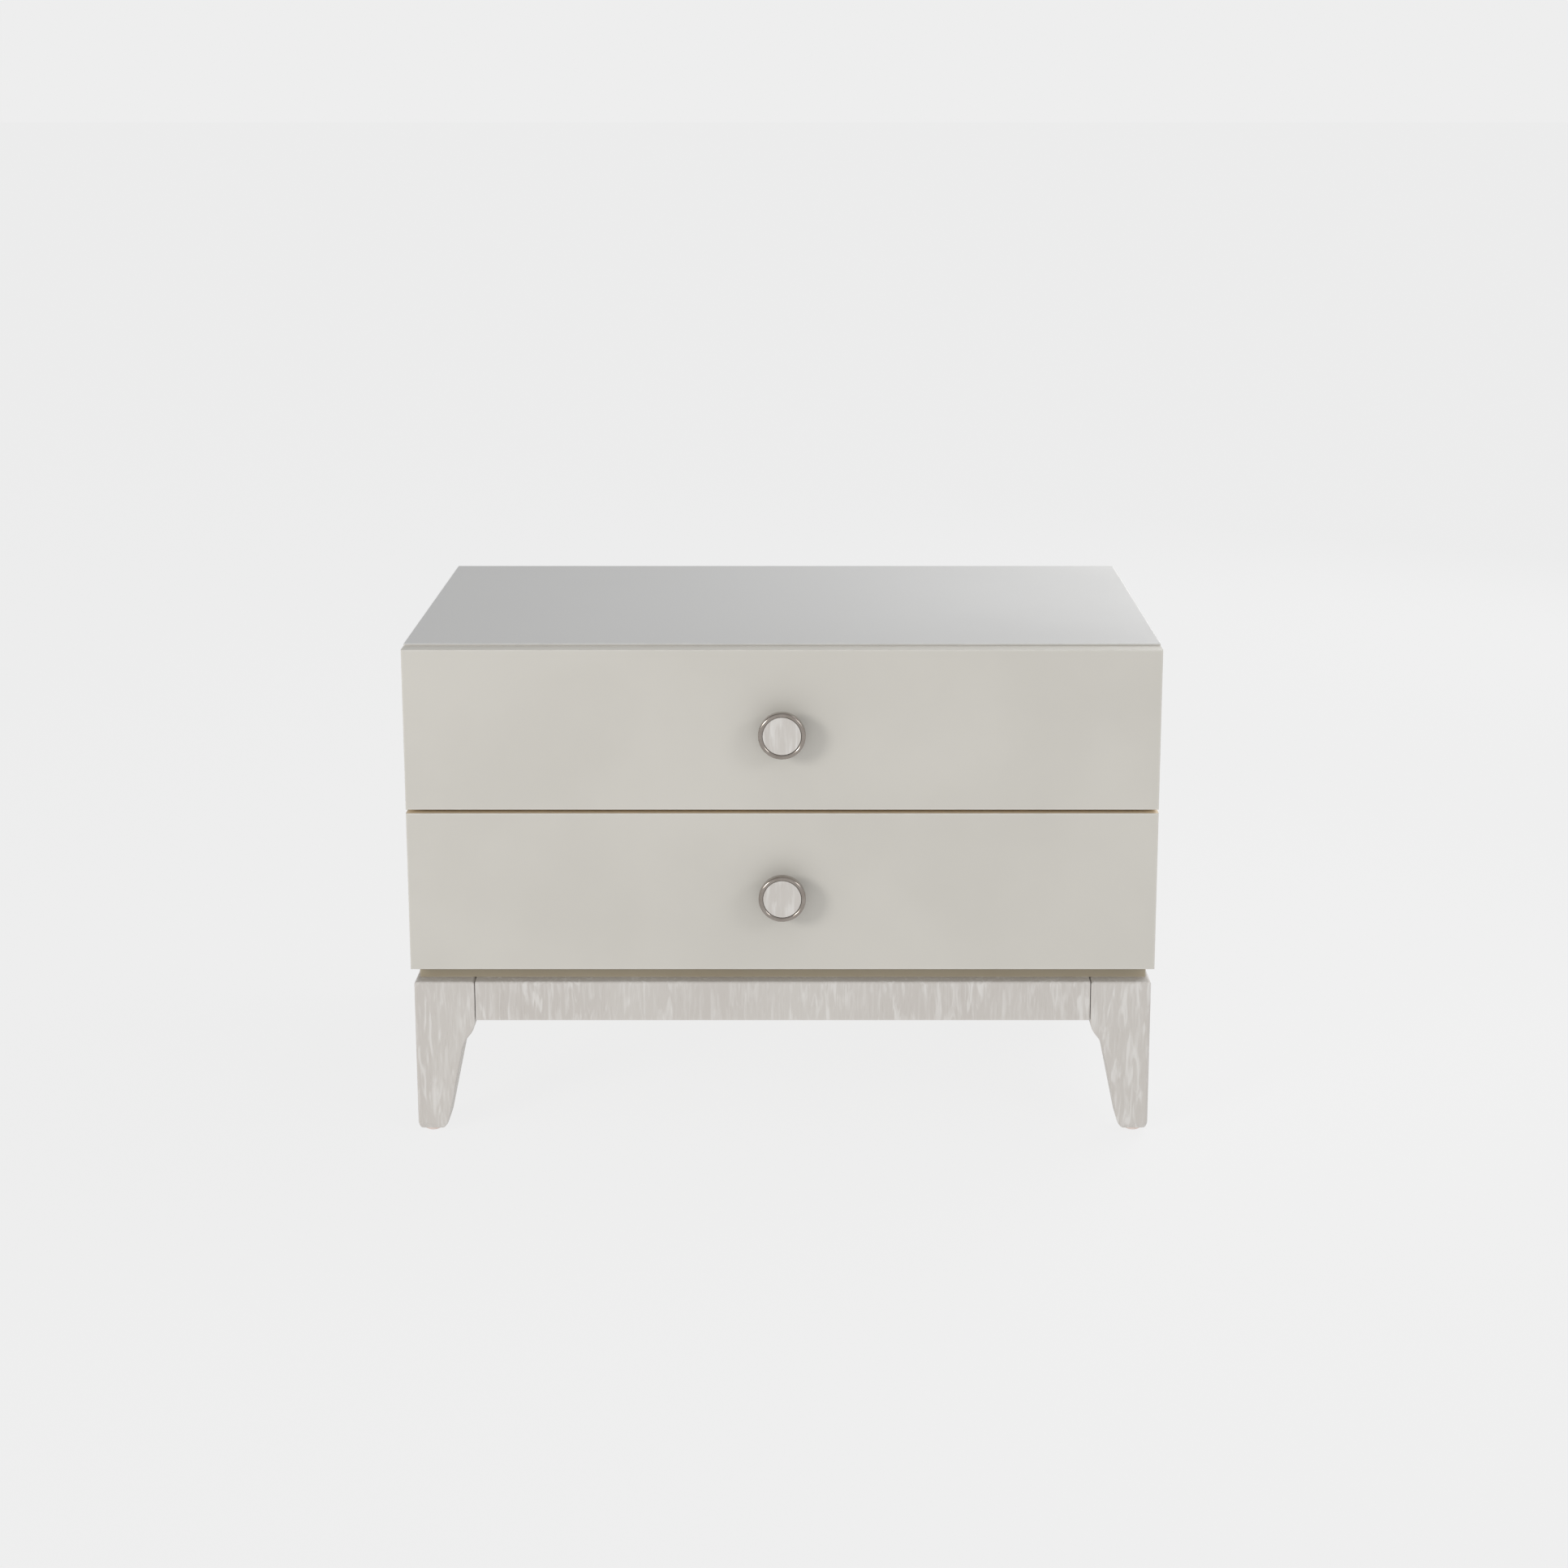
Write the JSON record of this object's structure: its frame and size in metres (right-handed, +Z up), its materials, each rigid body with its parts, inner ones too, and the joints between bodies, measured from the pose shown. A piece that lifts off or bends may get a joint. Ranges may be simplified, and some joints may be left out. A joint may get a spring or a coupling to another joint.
{
  "type": "nightstand",
  "caption": "Low wide nightstand with full-width overlay drawers on ball-bearing slides, round inlaid knobs and a separate leg frame with tapered legs",
  "frame": {"origin": "on the floor, under the middle of the overall bounding box, knobs included", "axes": "+Z up, drawer fronts face -Y, +X to the right hand of someone facing the back from the front"},
  "size_m": [0.8, 0.487, 0.543],
  "materials": {
    "cerused_wood": "pale grey limed wood, satin lacquer",
    "drawer_wood": "pale solid wood, clear matt",
    "plain_wood": "pale wood, sealed matt",
    "knob_nickel": "polished nickel",
    "slide_steel": "bright zinc",
    "steel_fastener": "zinc plated",
    "glide_plastic": "pale nylon",
    "bumper_rubber": "clear soft pads"
  },
  "bodies": {
    "case": {"apron_back": "cerused_wood", "apron_front": "cerused_wood", "apron_left": "cerused_wood", "apron_right": "cerused_wood", "back_panel": "plain_wood", "back_screws": "steel_fastener", "bumpers": "bumper_rubber", "case_bottom": "cerused_wood", "case_side_left": "cerused_wood", "case_side_right": "cerused_wood", "case_slide_screws": "steel_fastener", "corner_braces": "plain_wood", "divider": "cerused_wood", "floor_glides": "glide_plastic", "frame_bolts": "steel_fastener", "leg_back_left": "cerused_wood", "leg_back_right": "cerused_wood", "leg_front_left": "cerused_wood", "leg_front_right": "cerused_wood", "plinth_back": "cerused_wood", "plinth_front": "cerused_wood", "plinth_left": "cerused_wood", "plinth_right": "cerused_wood", "top_panel": "cerused_wood", "upper_case_channel_left": "slide_steel", "upper_case_channel_right": "slide_steel", "lower_case_channel_left": "slide_steel", "lower_case_channel_right": "slide_steel"},
    "upper_ball_cages": {"upper_ball_cage_left": "slide_steel", "upper_ball_cage_right": "slide_steel", "upper_balls": "slide_steel"},
    "upper_drawer": {"upper_box_back": "drawer_wood", "upper_box_bottom": "drawer_wood", "upper_box_front": "drawer_wood", "upper_box_left": "drawer_wood", "upper_box_right": "drawer_wood", "upper_drawer_channel_left": "slide_steel", "upper_drawer_channel_right": "slide_steel", "upper_front": "cerused_wood", "upper_front_screws": "steel_fastener", "upper_knob": "knob_nickel", "upper_knob_inlay": "cerused_wood", "upper_knob_screw": "steel_fastener", "upper_slide_screws": "steel_fastener"},
    "lower_ball_cages": {"lower_ball_cage_left": "slide_steel", "lower_ball_cage_right": "slide_steel", "lower_balls": "slide_steel"},
    "lower_drawer": {"lower_box_back": "drawer_wood", "lower_box_bottom": "drawer_wood", "lower_box_front": "drawer_wood", "lower_box_left": "drawer_wood", "lower_box_right": "drawer_wood", "lower_drawer_channel_left": "slide_steel", "lower_drawer_channel_right": "slide_steel", "lower_front": "cerused_wood", "lower_front_screws": "steel_fastener", "lower_knob": "knob_nickel", "lower_knob_inlay": "cerused_wood", "lower_knob_screw": "steel_fastener", "lower_slide_screws": "steel_fastener"}
  },
  "joints": [
    {"name": "upper_drawer_slide", "type": "slide", "parent": "case", "child": "upper_drawer", "axis": [0, -1, 0], "range_m": [0, 0.3]},
    {"name": "upper_cage_roll", "type": "slide", "parent": "case", "child": "upper_ball_cages", "axis": [0, -1, 0], "range_m": [0, 0.15]},
    {"name": "lower_drawer_slide", "type": "slide", "parent": "case", "child": "lower_drawer", "axis": [0, -1, 0], "range_m": [0, 0.3]},
    {"name": "lower_cage_roll", "type": "slide", "parent": "case", "child": "lower_ball_cages", "axis": [0, -1, 0], "range_m": [0, 0.15]}
  ],
  "couplings": [
    {"joint": "upper_cage_roll", "follows": "upper_drawer_slide", "ratio": 0.5},
    {"joint": "lower_cage_roll", "follows": "lower_drawer_slide", "ratio": 0.5}
  ]
}
